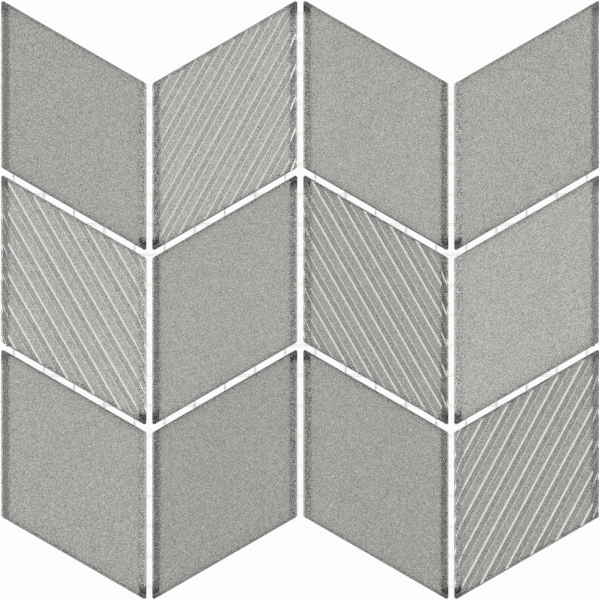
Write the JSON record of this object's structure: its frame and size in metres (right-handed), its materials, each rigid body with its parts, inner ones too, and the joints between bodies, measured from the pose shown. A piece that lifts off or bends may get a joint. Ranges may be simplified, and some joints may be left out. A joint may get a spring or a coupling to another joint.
{
  "type": "glass mosaic tile sheet",
  "caption": "Chevron mosaic sheet of silver-backed glass rhombus chips, plain and diagonally ribbed, bonded with open joints on a fibreglass mesh.",
  "frame": {"origin": "middle of the back of the sheet, on the underside of the backing mesh", "axes": "+Z out of the glass face, +Y up the straight joints, +X to the right across the columns, seen from the glass face"},
  "size_m": [0.198, 0.1978, 0.0084],
  "materials": {
    "silvered_glass": "clear pressed glass, smooth on the face, with a fine silver sparkle coat on its back",
    "fibreglass_mesh": "white coated glass yarn, matte"
  },
  "bodies": {
    "root": {"backing_mesh": "fibreglass_mesh", "plain_chip_c1_r1": "silvered_glass", "ribbed_chip_c1_r2": "silvered_glass", "plain_chip_c1_r3": "silvered_glass", "ribbed_chip_c2_r1": "silvered_glass", "plain_chip_c2_r2": "silvered_glass", "plain_chip_c2_r3": "silvered_glass", "plain_chip_c3_r1": "silvered_glass", "ribbed_chip_c3_r2": "silvered_glass", "plain_chip_c3_r3": "silvered_glass", "plain_chip_c4_r1": "silvered_glass", "plain_chip_c4_r2": "silvered_glass", "ribbed_chip_c4_r3": "silvered_glass"}
  },
  "joints": []
}
